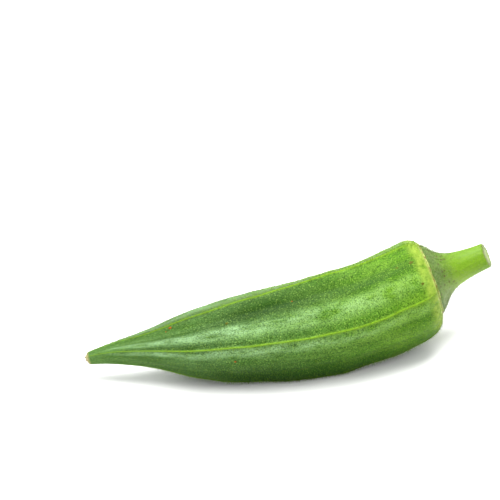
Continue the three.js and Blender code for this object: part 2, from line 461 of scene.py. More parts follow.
def volume_of(piece):
    """The signed volume in cubic centimetres: positive when the faces point outwards."""
    mesh = piece.data
    mesh.calc_loop_triangles()
    corners = np.empty(len(mesh.loop_triangles) * 3, np.int32)
    mesh.loop_triangles.foreach_get("vertices", corners)
    points = np.empty(len(mesh.vertices) * 3)
    mesh.vertices.foreach_get("co", points)
    a, b, c = points.reshape(-1, 3)[corners].reshape(-1, 3, 3).transpose(1, 0, 2)
    return float(np.einsum("ij,ij->i", a, np.cross(b, c)).sum() / 6 * 1e6)


print("the capsule's mesh will have", skin[..., 0].size + 2, "points")

# %% [markdown]
# ## Numbers that the colours read
#
# A pod isn't one green. It is dark in the furrows beside its ribs, fresher in the middle of each face,
# and tan at its very tip. Over that, painted shade darkens the band under the upper rib, the lower faces
# and the skin low down near the table, and pale bands of painted highlight lie along the faces. All this
# could be painted by hand in Blender's texture paint. Here each is a number on every point, worked out from
# the distance along the pod and the angle round it, or the height above the table, so that the colours
# can't drift away from the ribs.

# %% Ribs, and a straightened pod
STRAIGHT_RADIUS = 12
RIB_COLOUR_WIDTH, RIB_DOWN_WIDTH = np.radians(1.15), np.radians(7)
straight_points = (distance, STRAIGHT_RADIUS * np.cos(along), STRAIGHT_RADIUS * np.sin(along))
straight = np.stack(np.broadcast_arrays(*straight_points), -1)
everywhere = np.ones(skin.shape[:2])
from_rib = from_nearest_rib(along)
in_rib_line = np.exp(-((from_rib / RIB_COLOUR_WIDTH) ** 2)) * everywhere
beside_rib = np.exp(-((from_rib / RIB_DOWN_WIDTH) ** 2)) * everywhere
print("share of the points on a rib's line:", round(float((in_rib_line > 0.5).mean()), 2))

# %% How dark and how bloomy the skin is, round the pod
# Each pair: degrees round from the front rib, and how dark the green is there. A new row starts at each
# rib. The darkness is partly the skin's own, in and near the furrows beside the ribs, and partly painted
# shade: the dark band under the upper rib and the darker lower faces stand in for shade. No two faces
# match.
TONES_BEAK = [
    [0, 0.30], [5, 0.95], [12, 0.60], [22, 0.15], [34, 0.35], [43, 0.50], [53, 0.10], [66, 0.10],
    [72, 0.35], [78, 0.60], [92, 0.50], [106, 0.20], [122, 0.60], [134, 0.85],
    [144, 0.25], [152, 0.50], [166, 0.45], [178, 0.20], [194, 0.65], [206, 0.85],
    [216, 0.30], [240, 0.55], [268, 0.60], [284, 0.70],
    [288, 0.30], [300, 0.45], [314, 0.35], [328, 0.40], [340, 0.15], [352, 0.10], [360, 0.30],
]
TONES_MIDDLE = [
    [0, 0.15], [6, 0.45], [14, 0.20], [22, 0.10], [32, 0.30], [38, 0.65], [44, 1.0], [54, 1.0],
    [62, 0.75], [69, 0.6],
    [72, 0.25], [78, 0.45], [90, 0.50], [106, 0.30], [122, 0.60], [134, 0.85], [141, 0.6],
    [144, 0.25], [152, 0.50], [166, 0.45], [178, 0.20], [194, 0.65], [206, 0.85], [213, 0.6],
    [216, 0.30], [226, 0.60], [240, 0.55], [252, 0.40], [268, 0.60], [284, 0.70],
    [288, 0.35], [296, 0.65], [312, 0.75], [326, 0.55], [336, 0.32], [344, 0.10], [352, 0.02],
    [360, 0.15],
]
TONES_SHOULDER = [
    [0, 0.05], [5, 0.40], [11, 0.70], [17, 0.45], [24, 0.05], [31, 0.10], [37, 0.45], [44, 0.80],
    [51, 0.65], [58, 0.20], [66, 0.10],
    [72, 0.05], [80, 0.10], [92, 0.60], [100, 0.20], [110, 0.10], [120, 0.55], [130, 0.45],
    [144, 0.05], [156, 0.50], [168, 0.55], [180, 0.10], [196, 0.55], [208, 0.40],
    [216, 0.10], [228, 0.55], [240, 0.50], [252, 0.20], [266, 0.55], [280, 0.45],
    [288, 0.15], [300, 0.45], [312, 0.50], [320, 0.15], [332, 0.50], [342, 0.15], [350, 0.02],
    [360, 0.05],
]
# Painted highlight: pale bands along the faces that stand in for the light's shine. Each band: degrees,
# strength and width in degrees.
PAINTED_HIGHLIGHT_BANDS = [[25, 1.2, 10], [94, 0.5, 12], [172, 0.9, 10], [246, 0.7, 11], [350, 0.95, 8]]
SOFTENING = (-2, 0, 2)


def darkness_round(tones, along):
    """Straight lines through the tones, with their corners softened by averaging over a few degrees."""
    at, tone = np.array(tones, float).T
    degrees = np.degrees(along) % 360
    return sum(np.interp((degrees + step) % 360, at, tone) for step in SOFTENING) / len(SOFTENING)


def painted_highlight_round(along):
    """The sum of a bell curve for each band, by the shorter way round."""
    degrees = np.degrees(along)[..., None]
    at, strength, width = np.array(PAINTED_HIGHLIGHT_BANDS, float).T
    away = (degrees - at + 180) % 360 - 180
    return (strength * np.exp(-((away / width) ** 2))).sum(-1)


print("bloom on the front rib:", round(float(painted_highlight_round(np.array([0.0]))[0]), 2))

# %% The same along the pod
# Each range is where a change begins and where it is complete, in mm: from the tip, or back from the
# capsule's end where the name says so, or above the table for the shade's heights.
BEAK_TO_MIDDLE, MIDDLE_TO_SHOULDER, RIPENING = (22, 38), (42, 74), (20, 92)
TONES_BEGIN, PAINTED_HIGHLIGHT_BEGINS, PAINTED_HIGHLIGHT_THINS = (3, 16), (2, 12), (60, 82)
SHOULDER_DARKNESS, PAINTED_HIGHLIGHT_LOST = 0.8, 0.25
SHOULDER_BEFORE_END, RIM_BEFORE_END, TIP_DRIES = (4.6, 1.3), (0.8, 0.15), (0.1, 1.0)
SHADE_HEIGHTS, SHADE_BEGINS = (9.0, 1.0), (10, 40)
to_shoulder = smooth(*MIDDLE_TO_SHOULDER, distance)
past_beak = smooth(*BEAK_TO_MIDDLE, distance)
# Furrow darkness: partly the skin's own darker green, partly painted shade under the upper rib and on the
# lower faces.
furrow_and_painted_shade = darkness_round(TONES_MIDDLE, along) * past_beak * (1 - to_shoulder)
furrow_and_painted_shade = furrow_and_painted_shade + darkness_round(TONES_BEAK, along) * (1 - past_beak)
furrow_and_painted_shade = furrow_and_painted_shade + darkness_round(TONES_SHOULDER, along) * to_shoulder * SHOULDER_DARKNESS
furrow_and_painted_shade = furrow_and_painted_shade * (1 - over) * smooth(*TONES_BEGIN, distance)
# Painted highlight: pale bands along the faces, fading in past the tip and thinning towards the shoulder.
in_painted_highlight = painted_highlight_round(along) * (1 - over) * smooth(*PAINTED_HIGHLIGHT_BEGINS, distance)
in_painted_highlight = in_painted_highlight * (1 - PAINTED_HIGHLIGHT_LOST * smooth(*PAINTED_HIGHLIGHT_THINS, distance))
ripeness = smooth(*RIPENING, distance) * everywhere


def up_to_end(before_end):
    """0 to 1 over a range that is measured back from the capsule's end."""
    return smooth(CAPSULE_LENGTH - before_end[0], CAPSULE_LENGTH - before_end[1], distance) * everywhere


near_shoulder, at_rim = up_to_end(SHOULDER_BEFORE_END), up_to_end(RIM_BEFORE_END)
near_tip = (1 - smooth(*TIP_DRIES, distance)) * everywhere
# Painted shade: the skin is darker low down near the table, fading in past the beak.
painted_low_shade = smooth(*SHADE_HEIGHTS, skin[..., 2]) * smooth(*SHADE_BEGINS, distance)
print("mean darkness", round(float(furrow_and_painted_shade.mean()), 2), "and bloom", round(float(in_painted_highlight.mean()), 2))

# %% The capsule as a piece
# The number furrow also holds painted shade, and shaded is painted shade low down.
skin_numbers = {
    "straight": straight,
    "rib_line": in_rib_line,
    "furrow": furrow_and_painted_shade,
    "painted_highlight": in_painted_highlight,
    "ripeness": ripeness,
    "shoulder": near_shoulder,
    "rim": at_rim,
    "tip": near_tip,
    "shaded": painted_low_shade,
}
pod_skin = closed_skin("pod_skin", skin, skin_numbers)
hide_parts("pod")
print("pod skin", len(pod_skin.data.polygons), "faces,", round(volume_of(pod_skin), 2), "cm3")

# %% [markdown]
# ## Node helpers
#
# A procedural material is a small graph of nodes. It could be wired by hand in the shader editor. A few
# helpers keep it readable as code: they add a node, mix two colours, do one step of arithmetic, rescale a
# number, make noise, read a number off the mesh's points, and start a material.

# %% Material helpers
def add(tree, kind, inputs=None, **settings):
    """One node: settings are its properties, inputs pair a socket with a number, a colour or an output."""
    made = tree.nodes.new(kind)
    for key, value in settings.items():
        setattr(made, key, value)
    for key, value in (inputs or {}).items():
        if isinstance(value, bpy.types.NodeSocket):
            tree.links.new(value, made.inputs[key])
        else:
            made.inputs[key].default_value = value
    return made


def mix(tree, factor, first, second):
    """The first colour where factor is 0 and the second where it is 1."""
    made = add(tree, "ShaderNodeMix", data_type="RGBA")
    for socket, value in ((0, factor), (6, first), (7, second)):
        if isinstance(value, bpy.types.NodeSocket):
            tree.links.new(value, made.inputs[socket])
        else:
            made.inputs[socket].default_value = value if socket == 0 else (*value, 1)
    return made.outputs[2]


def sum_of(tree, operation, first, second=0.0):
    """One arithmetic step, such as ADD or MULTIPLY."""
    return add(tree, "ShaderNodeMath", {0: first, 1: second}, operation=operation).outputs[0]


def stretch(tree, vector, start, end):
    """A number rescaled so that start becomes 0 and end becomes 1, and held there outside them."""
    values = {"Value": vector, "From Min": start, "From Max": end}
    return add(tree, "ShaderNodeMapRange", values, clamp=True).outputs[0]


def noise(tree, vector, scale, detail=2.0, squeeze=(1, 1, 1)):
    """Noise whose grains are 1 / scale long, squeezed along each axis first."""
    squeezed = add(tree, "ShaderNodeVectorMath", {0: vector, 1: squeeze}, operation="MULTIPLY").outputs[0]
    values = {"Vector": squeezed, "Scale": scale, "Detail": detail}
    return add(tree, "ShaderNodeTexNoise", values).outputs[0]


def attribute(tree, name, vector=False):
    """A number, or a vector, that the mesh's points carry."""
    read = add(tree, "ShaderNodeAttribute", attribute_name=name)
    return read.outputs["Vector" if vector else "Fac"]


def part_of(tree, number, amount):
    """A mask turned down to that amount."""
    return sum_of(tree, "MULTIPLY", number, amount)


def new_material(name, roughness, **plain):
    """A material, its node tree and its main shader, whose plain values are set on its own sockets."""
    material = bpy.data.materials.new(name)
    material.use_nodes = True
    tree = material.node_tree
    shader = tree.nodes["Principled BSDF"]
    shader.inputs["Roughness"].default_value = roughness
    for key, value in plain.items():
        shader.inputs[key.replace("_", " ")].default_value = value
    return material, tree, shader


def finish(tree, shader, colour, height, strength, depth):
    """Wires a colour to the shader, and a height to its normal through a bump of that depth in metres."""
    tree.links.new(colour, shader.inputs["Base Color"])
    bumped = {"Height": height, "Strength": strength, "Distance": depth}
    tree.links.new(add(tree, "ShaderNodeBump", bumped).outputs[0], shader.inputs["Normal"])


def plain_material(name, roughness, colour, **plain):
    """A material of one even colour, for what is too small or too plain to show a pattern."""
    material, _, shader = new_material(name, roughness, **plain)
    shader.inputs["Base Color"].default_value = (*colour, 1)
    return material


print("numbers that the skin's points carry:", sorted(skin_numbers))

# %% [markdown]
# ## Okra skin
#
# The skin is a mid green, darker in the furrows, fresher and yellower towards the shoulder, with a fine
# pale speckle where hairs root. The furrows' darkness is partly painted shade, and painted shade also
# darkens the skin low down. Its down scatters the light, so it shines only faintly, and pale bands of
# painted highlight lie along its faces. A picture could hold all this, but noise in the straightened pod's
# own space has no seam and can be as fine as it likes.

# %% The skin's greens
BEAK_GREEN, BEAK_PALE = (0.062, 0.150, 0.026), (0.105, 0.210, 0.058)
BODY_GREEN, BODY_PALE = (0.078, 0.205, 0.003), (0.140, 0.290, 0.014)
DEEP_GREEN, DEEP_BODY_GREEN = (0.006, 0.026, 0.001), (0.009, 0.048, 0.001)
RIB_GREEN = (0.175, 0.330, 0.010)
SPECKLE_GREEN, SPECKLE_BODY_GREEN = (0.20, 0.34, 0.08), (0.20, 0.36, 0.03)
# Painted highlight: the pale greens of the highlight bands, bluer on the beak.
PAINTED_HIGHLIGHT_GREEN, PAINTED_HIGHLIGHT_BODY_GREEN = (0.245, 0.415, 0.195), (0.205, 0.370, 0.075)
SHOULDER_GREEN, RING_CREAM, DRY_TAN = (0.235, 0.335, 0.042), (0.28, 0.34, 0.07), (0.36, 0.31, 0.15)
print("green from beak to body:", BEAK_GREEN, "to", BODY_GREEN)

# %% The skin's material
ROOTS_PER_MM, SKIN_SHINE = 2.0, 0.05
SKIN_BUMP_STRENGTH, SKIN_BUMP_DEPTH = 0.6, 0.00015


def skin_material():
    """Greens by ripeness and noise in the straightened pod's space, then furrows with painted shade,
    painted highlight bands, ribs, painted shade low down and the ends over them.

    Each line lays one colour over what is there, where its mask is 1, so the order matters.
    """
    material, tree, shader = new_material("okra_skin", 0.4, Specular_IOR_Level=SKIN_SHINE)
    place = attribute(tree, "straight", vector=True)
    ripe = attribute(tree, "ripeness")
    blotches = noise(tree, place, 0.30, 3, (0.35, 1, 1))
    streaks = noise(tree, place, 0.75, 3, (0.10, 1, 1))
    speckle = noise(tree, place, 3.4, 2)
    roots = add(tree, "ShaderNodeTexVoronoi", {"Vector": place, "Scale": ROOTS_PER_MM})
    dots = stretch(tree, roots.outputs["Distance"], 0.40, 0.16)
    dots = sum_of(tree, "MULTIPLY", dots, stretch(tree, speckle, 0.35, 0.60))
    green = mix(tree, ripe, BEAK_GREEN, BODY_GREEN)
    pale = mix(tree, ripe, BEAK_PALE, BODY_PALE)
    deep = mix(tree, ripe, DEEP_GREEN, DEEP_BODY_GREEN)
    colour = mix(tree, stretch(tree, blotches, 0.35, 0.68), green, pale)
    colour = mix(tree, part_of(tree, stretch(tree, streaks, 0.50, 0.30), 0.35), colour, deep)
    # Darker in the furrows: partly the skin's own green, partly painted shade under the upper rib and on
    # the lower faces.
    colour = mix(tree, part_of(tree, attribute(tree, "furrow"), 0.85), colour, deep)
    # Painted highlight: pale bands along the faces, broken up by noise.
    painted_highlight_colour = mix(tree, ripe, PAINTED_HIGHLIGHT_GREEN, PAINTED_HIGHLIGHT_BODY_GREEN)
    broken = stretch(tree, noise(tree, place, 0.42, 3, (0.45, 1, 1)), 0.30, 0.66)
    colour = mix(tree, sum_of(tree, "MULTIPLY", attribute(tree, "painted_highlight"), broken), colour, painted_highlight_colour)
    colour = mix(tree, part_of(tree, stretch(tree, speckle, 0.54, 0.38), 0.70), colour, deep)
    fewer = sum_of(tree, "SUBTRACT", 0.80, part_of(tree, attribute(tree, "furrow"), 0.30))
    rooted = mix(tree, ripe, SPECKLE_GREEN, SPECKLE_BODY_GREEN)
    colour = mix(tree, sum_of(tree, "MULTIPLY", dots, fewer), colour, rooted)
    colour = mix(tree, part_of(tree, attribute(tree, "rib_line"), 0.8), colour, RIB_GREEN)
    # Painted shade: darker low down near the table, laid after the ribs so that the low ribs darken too.
    colour = mix(tree, part_of(tree, attribute(tree, "shaded"), 0.9), colour, deep)
    patchy = stretch(tree, noise(tree, place, 0.6, 3), 0.25, 0.6)
    patchy = sum_of(tree, "MULTIPLY", attribute(tree, "shoulder"), patchy)
    colour = mix(tree, patchy, colour, SHOULDER_GREEN)
    colour = mix(tree, attribute(tree, "rim"), colour, RING_CREAM)
    colour = mix(tree, attribute(tree, "tip"), colour, DRY_TAN)
    rough = sum_of(tree, "ADD", part_of(tree, streaks, 0.25), 0.30)
    tree.links.new(rough, shader.inputs["Roughness"])
    height = sum_of(tree, "ADD", part_of(tree, speckle, 0.7), part_of(tree, streaks, 0.6))
    finish(tree, shader, colour, height, SKIN_BUMP_STRENGTH, SKIN_BUMP_DEPTH)
    return material


pod_skin.data.materials.append(skin_material())
print("okra skin:", len(bpy.data.materials["okra_skin"].node_tree.nodes), "nodes")

# %% [markdown]
# ## The cone and the cut stalk
#
# When the flower's calyx falls it leaves a grey-green fuzzy cone, lobed like a worn crown, that narrows
# into the stalk. The stalk was cut on a slant: its face shows a green rind, a ring of vessels and pale
# pith, and its rim is ragged where the blade tore it. A screw modifier could turn a drawn profile about a
# line. Here the profile is a curve through a few radii, so that lobes can be added to it and die away
# towards the stalk.

# %% Stem shape
STEM_GAP = 0.3
STEM_RADIUS = [[0, 8.9], [0.8, 8.4], [1.8, 7.4], [3.2, 6.1], [5.2, 4.9], [8, 4.0], [12, 3.4], [16.3, 3.1]]
STALK_CLIMB, STALK_SWEEP = 13, 8
CUT_CLIMB, CUT_SWEEP = 30, -22
STEM_ROWS, STEM_POINTS, CUT_ROWS, EDGE_ROWS = 150, 180, 26, 5
ROW_CROWDING, CUT_EDGE, CUT_CENTRE = 1.4, 0.45, 0.03
LOBES, LOBE_HEIGHT, LOBE_PLACE, LOBE_LENGTH = 6, 0.32, 1.9, 1.7
CREASES, CREASE_HEIGHT, CREASE_PLACE, CREASE_LENGTH = 13, 0.10, 2.5, 2.2
LINES, LINE_HEIGHT, LINES_BEGIN = 17, 0.025, (4, 9)
OVAL_HEIGHT, OVAL_BEGINS = 0.10, (5, 11)
LIP_HEIGHT, LIP_START = 0.10, 15.3
CUT_RIPPLE, CUT_TEAR, PITH_DIP, PITH_EDGE = 0.02, 0.16, 0.12, (0.55, 0.2)
# Painted light: where and how strongly the cone's low front side is painted paler, as if lit from below.
PAINTED_LIGHT_SIDE, PAINTED_LIGHT_SIDE_STRENGTH, PAINTED_LIGHT_SIDE_BEGINS, PAINTED_LIGHT_SIDE_ENDS = np.radians(55), 0.8, (0.2, 1.6), (16, 5)


def stem_outline():
    """Columns of distance, radius, a 1-to-0 mask of the side, and the share of the cut face's radius."""
    length = STEM_RADIUS[-1][0]
    side = np.linspace(0, 1, STEM_ROWS) ** ROW_CROWDING * (length - CUT_EDGE)
    turn = np.linspace(0, np.pi / 2, EDGE_ROWS + 1)[1:]
    inward = np.linspace(1, CUT_CENTRE, CUT_ROWS)[1:]
    end = through(STEM_RADIUS, length)
    d = np.concatenate([side, length - CUT_EDGE * (1 - np.sin(turn)), np.full(CUT_ROWS - 1, length)])
    r = np.concatenate([through(STEM_RADIUS, side), end - CUT_EDGE * (1 - np.cos(turn)),
                        (end - CUT_EDGE) * inward])
    on_side = np.concatenate([np.ones(STEM_ROWS), np.cos(turn) ** 2, np.zeros(CUT_ROWS - 1)])
    across = np.concatenate([np.ones(STEM_ROWS + EDGE_ROWS), inward])
    return d[:, None], r[:, None], on_side[:, None], across[:, None]


def stem_grid():
    """Rings about the stalk's line from the scar to the cut, then smaller rings across the cut face.

    Radius = profile + lobes * bell of the distance + fine lengthwise lines and a slight oval on the stalk
    + a low torn lip at the cut. Across the cut face the height ripples and dips to the pith.
    """
    d, r, on_side, across = stem_outline()
    length = STEM_RADIUS[-1][0]
    centre, _, _, _ = section_at(CAPSULE_LENGTH)
    base, cut = plane_facing(SHOULDER_CLIMB, SHOULDER_SWEEP), plane_facing(CUT_CLIMB, CUT_SWEEP)
    foot = centre + base[0] * STEM_GAP
    a = (np.arange(STEM_POINTS) / STEM_POINTS * 2 * np.pi)[None, :]
    on_lobes = np.exp(-(((d - LOBE_PLACE) / LOBE_LENGTH) ** 2))
    on_creases = np.exp(-(((d - CREASE_PLACE) / CREASE_LENGTH) ** 2))
    lobes = LOBE_HEIGHT * np.cos(LOBES * a + 0.7 + 0.4 * np.sin(a)) * on_lobes
    lobes = lobes + CREASE_HEIGHT * np.cos(CREASES * a + 2) * on_creases
    lines = LINE_HEIGHT * np.cos(LINES * a + 1.5 * np.sin(3 * a)) * smooth(*LINES_BEGIN, d)
    oval = OVAL_HEIGHT * np.cos(2 * a + 1.1) * smooth(*OVAL_BEGINS, d)
    ragged = 0.5 + 0.5 * np.sin(9 * a + 1.7 * np.sin(4 * a)) * np.sin(5 * a + 0.6)
    lip = LIP_HEIGHT * ragged * smooth(LIP_START, length, d)
    reach = r + (lobes + lines + oval + lip) * across
    ripple = CUT_RIPPLE * np.sin(across * 17 + a) + CUT_TEAR * (ragged - 0.5) * across**3
    ripple = ripple - PITH_DIP * smooth(*PITH_EDGE, across)
    lift = (1 - on_side) * ripple
    side = base[1] + (cut[1] - base[1]) * (d / length)[..., None]
    top = base[2] + (cut[2] - base[2]) * (d / length)[..., None]
    out = np.cos(a)[..., None] * side + np.sin(a)[..., None] * top
    line = foot + heading(STALK_CLIMB, STALK_SWEEP) * d[..., None] + cut[0] * lift[..., None]
    # Painted light: a mask that makes the cone's low front side paler, as if lit from below.
    painted_light_side = smooth(0.1, 1.0, np.cos(a + PAINTED_LIGHT_SIDE)) * smooth(*PAINTED_LIGHT_SIDE_ENDS, d)
    facts = {
        "straight": np.stack(np.broadcast_arrays(d, r * np.cos(a), r * np.sin(a)), -1),
        "down_stalk": d * np.ones_like(a),
        "painted_light_side": painted_light_side * smooth(*PAINTED_LIGHT_SIDE_BEGINS, d) * PAINTED_LIGHT_SIDE_STRENGTH,
        "cut": (1 - on_side) * np.ones_like(a),
        "across_cut": across * np.ones_like(a),
    }
    return line + reach[..., None] * out, facts


stem_points, stem_facts = stem_grid()
stem_points = set_down(stem_points)
stem_skin = closed_skin("stem_skin", stem_points, stem_facts)
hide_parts("stem")
print("stem", len(stem_skin.data.polygons), "faces,", round(volume_of(stem_skin), 2), "cm3")

# %% The stem's material
CONE_GREY, CONE_PALE = (0.054, 0.118, 0.006), (0.210, 0.300, 0.085)
STALK_GREEN, STALK_LIGHT = (0.092, 0.195, 0.002), (0.190, 0.310, 0.022)
RIND_GREEN, VESSEL_BROWN, PITH = (0.10, 0.19, 0.01), (0.11, 0.07, 0.02), (0.20, 0.27, 0.06)
FLECK_BROWN = (0.060, 0.030, 0.012)
FLECKS_PER_MM, STEM_SHINE = 0.9, 0.2
STEM_BUMP_STRENGTH, STEM_BUMP_DEPTH = 0.5, 0.00012


def stem_material():
    """Grey-green cone to yellow-green stalk, flecked on the cone, with rings on the cut face."""
    material, tree, shader = new_material("okra_stem", 0.42, Specular_IOR_Level=STEM_SHINE)
    place = attribute(tree, "straight", vector=True)
    down = attribute(tree, "down_stalk")
    across = attribute(tree, "across_cut")
    streaks = noise(tree, place, 1.2, 2, (0.15, 1, 1))
    speckle = noise(tree, place, 3.6, 2)
    pits = add(tree, "ShaderNodeTexVoronoi", {"Vector": place, "Scale": FLECKS_PER_MM})
    flecks = stretch(tree, pits.outputs["Distance"], 0.34, 0.22)
    flecks = sum_of(tree, "MULTIPLY", flecks, stretch(tree, noise(tree, place, 0.9, 1), 0.44, 0.52))
    flecks = sum_of(tree, "MULTIPLY", flecks, stretch(tree, down, 9.5, 4.5))
    on_stalk = stretch(tree, down, 2.5, 7.5)
    green = mix(tree, on_stalk, CONE_GREY, STALK_GREEN)
    light = mix(tree, on_stalk, CONE_PALE, STALK_LIGHT)
    colour = mix(tree, part_of(tree, stretch(tree, streaks, 0.4, 0.7), 0.2), green, light)
    # Painted light: the cone's low front side takes the lighter colour, as if lit from below.
    colour = mix(tree, attribute(tree, "painted_light_side"), colour, light)
    colour = mix(tree, part_of(tree, stretch(tree, speckle, 0.45, 0.7), 0.45), colour, light)
    colour = mix(tree, part_of(tree, flecks, 0.95), colour, FLECK_BROWN)
    face = mix(tree, stretch(tree, across, 0.86, 0.50), RIND_GREEN, PITH)
    ring = sum_of(tree, "MULTIPLY", stretch(tree, across, 0.50, 0.60), stretch(tree, across, 0.74, 0.66))
    dotted = sum_of(tree, "MULTIPLY", ring, stretch(tree, noise(tree, place, 2.6, 1), 0.42, 0.62))
    face = mix(tree, dotted, face, VESSEL_BROWN)
    torn = sum_of(tree, "MULTIPLY", stretch(tree, across, 0.80, 0.95),
                  stretch(tree, noise(tree, place, 1.9, 1), 0.44, 0.54))
    face = mix(tree, part_of(tree, torn, 0.9), face, VESSEL_BROWN)
    colour = mix(tree, attribute(tree, "cut"), colour, face)
    height = sum_of(tree, "ADD", part_of(tree, speckle, 0.7), streaks)
    finish(tree, shader, colour, height, STEM_BUMP_STRENGTH, STEM_BUMP_DEPTH)
    return material


stem_skin.data.materials.append(stem_material())
print("okra stem:", len(bpy.data.materials["okra_stem"].node_tree.nodes), "nodes")

# %% [markdown]
# ## The scar ring
#
# Where the calyx broke away the rim healed as a thin corky cord, cream and tan with red-brown flecks,
# caught between the shoulder and the cone. A torus would be too even, so this one is a small tube carried
# round a circle, with its radius, place and thickness wandering by slow waves.

# %% Scar ring
RING_RADIUS, RING_THICKNESS, RING_OUT = 9.25, 0.30, 0.10
RING_WANDER, RING_SWELL, RING_CRUMBLE, RING_SHIFT, RING_FLATTENING = 0.12, 0.30, 0.22, 0.10, 0.8
RING_ROWS, RING_POINTS = 360, 12


def slow_wander(angle, *counts):
    """A sum of sines with those whole numbers of waves round the ring, each with its own random start."""
    return sum(np.sin(n * angle + chance.uniform(0, 2 * np.pi)) for n in counts) / len(counts)


def ring_grid():
    """Tube points: circle point + thickness * (cos, sin) of the angle round the tube, out and forwards."""
    centre, facing, side, top = section_at(CAPSULE_LENGTH)
    u = (np.arange(RING_ROWS) / RING_ROWS * 2 * np.pi)[:, None]
    v = (np.arange(RING_POINTS) / RING_POINTS * 2 * np.pi)[None, :]
    outward = np.cos(u)[..., None] * side + np.sin(u)[..., None] * top
    radius = RING_RADIUS + RING_WANDER * slow_wander(u, 3, 5, 11)
    swell = 1 + RING_SWELL * slow_wander(u, 7, 13, 22) + RING_CRUMBLE * slow_wander(u, 31, 43, 60)
    thick = RING_THICKNESS * swell
    forward = RING_OUT + RING_SHIFT * slow_wander(u, 4, 9, 17)
    reach = radius + thick * np.cos(v)
    ahead = forward + RING_FLATTENING * thick * np.sin(v)
    return centre + reach[..., None] * outward + ahead[..., None] * facing


ring_points = set_down(ring_grid())
print("scar ring grid", ring_points.shape[:2], "rows by points round")


# %% A mesh that joins up both ways
def closed_loop(name, grid, values):
    """A tube whose rows and columns both join up. Values is one number for each point, kept as "fleck"."""
    rows, columns, _ = grid.shape
    row, column = (a.ravel() for a in np.mgrid[0:rows, 0:columns])
    next_row, next_column = (row + 1) % rows, (column + 1) % columns
    quads = np.stack([row * columns + column, row * columns + next_column,
                      next_row * columns + next_column, next_row * columns + column], -1)
    mesh = bpy.data.meshes.new(name)
    mesh.from_pydata((grid.reshape(-1, 3) * MM).tolist(), [], quads.tolist())
    mesh.polygons.foreach_set("use_smooth", np.ones(len(quads), bool))
    u = np.stack([column, column + 1, column + 1, column], -1) / columns
    v = np.stack([row, row, row + 1, row + 1], -1) / rows
    unrolled = np.stack([u, v], -1).astype(np.float32)
    mesh.uv_layers.new(name="OFBake").data.foreach_set("uv", unrolled.ravel())
    layer = mesh.attributes.new("fleck", "FLOAT", "POINT")
    layer.data.foreach_set("value", values.astype(np.float32).ravel())
    return to_scene(name, mesh)


FLECK_ROUGHNESS = 0.10
ring_turn = (np.arange(RING_ROWS) / RING_ROWS * 2 * np.pi)[:, None] * np.ones((1, RING_POINTS))
ring_fleck = 0.5 + 0.5 * slow_wander(ring_turn, 5, 14, 23, 37)
ring_fleck = ring_fleck + chance.normal(0, FLECK_ROUGHNESS, ring_turn.shape)
scar_ring = closed_loop("scar_ring", ring_points, ring_fleck)
print("scar ring", len(scar_ring.data.polygons), "faces,", round(volume_of(scar_ring), 4), "cm3")

# %% The ring's material
RING_TAN, RING_RUST = (0.24, 0.26, 0.06), (0.15, 0.07, 0.015)
CORK_GRAINS_PER_M = 2600


def ring_material():
    """Cream cork, tanned and rusted where the flecks' number is high, with fine noise over it."""
    material, tree, shader = new_material("scar_cork", 0.6)
    fleck = attribute(tree, "fleck")
    where = add(tree, "ShaderNodeTexCoord").outputs["Object"]
    grain = noise(tree, where, CORK_GRAINS_PER_M, 2)
    mottled = sum_of(tree, "ADD", fleck, part_of(tree, sum_of(tree, "SUBTRACT", grain, 0.5), 0.9))
    colour = mix(tree, stretch(tree, mottled, 0.30, 0.55), RING_CREAM, RING_TAN)
    colour = mix(tree, stretch(tree, mottled, 0.52, 0.66), colour, RING_RUST)
    finish(tree, shader, colour, grain, 0.5, 0.0001)
    return material


scar_ring.data.materials.append(ring_material())
print("scar cork:", len(bpy.data.materials["scar_cork"].node_tree.nodes), "nodes")

# %% [markdown]
# ## Finding places on a grid
#
# Hairs and scabs all sit on a skin, so one helper reads a place or an outward direction off its grid at any
# row and column, whole or not. Ray casting on the finished mesh would give the same, one ray at a time.

# %% Places and directions on a grid
def outward_of(grid):
    """Unit normals at the grid's points: the cross product of the steps along and round it."""
    round_step = np.roll(grid, -1, axis=1) - np.roll(grid, 1, axis=1)
    normal = np.cross(np.gradient(grid, axis=0), round_step)
    return normal / np.maximum(np.linalg.norm(normal, axis=-1, keepdims=True), 1e-9)


def on_grid(values, row, column):
    """Bilinear interpolation of a grid of vectors at any rows and columns, and the columns wrap round."""
    rows, columns = values.shape[:2]
    r = np.clip(np.floor(row).astype(int), 0, rows - 2)
    c = np.floor(column).astype(int) % columns
    s, t = (row - r)[..., None], (column - np.floor(column))[..., None]
    beside = (c + 1) % columns
    low_side = values[r, c] * (1 - t) + values[r, beside] * t
    high_side = values[r + 1, c] * (1 - t) + values[r + 1, beside] * t
    return low_side * (1 - s) + high_side * s


skin_outward, stem_outward = outward_of(skin), outward_of(stem_points)
middle = skin[BODY_ROWS // 2]
facing_out = np.einsum("ij,ij->i", skin_outward[BODY_ROWS // 2], middle - middle.mean(0))
print("normals that face out at the middle:", int((facing_out > 0).sum()), "of", ROUND_POINTS)

# %% [markdown]
# ## Fuzz
#
# Okra is downy: short pale hairs stand all over it, thickest on the ribs and on the cone, and they give the
# pod its soft pale edge and a fine speckle. Blender's hair curves would do for a render, but a mesh is what
# lasts, so each hair is a slim straight spike of four triangles, three sides and a base, rooted at a random
# place by area.

# %% Hair roots
HAIR_SINK, HAIR_CLEARANCE = 0.04, 0.02
LOWEST_HAIR = 0.25
LEAST_RISE = 0.2


def random_places(grid, thickness, count):
    """Rows and columns at random, as likely in each cell as its area times the down's thickness there."""
    step = np.diff(grid, axis=0)
    across = np.roll(grid, -1, axis=1)[:-1] - grid[:-1]
    area = np.linalg.norm(np.cross(step, across), axis=-1) * thickness[:-1]
    area = area * (grid[:-1, :, 2] > LOWEST_HAIR)
    picked = chance.choice(area.size, count, p=area.ravel() / area.sum())
    row, column = np.divmod(picked, grid.shape[1])
    return row + chance.random(count), column + chance.random(count)


print("room for roots:", int((skin[:-1, :, 2] > LOWEST_HAIR).sum()), "cells of the capsule")


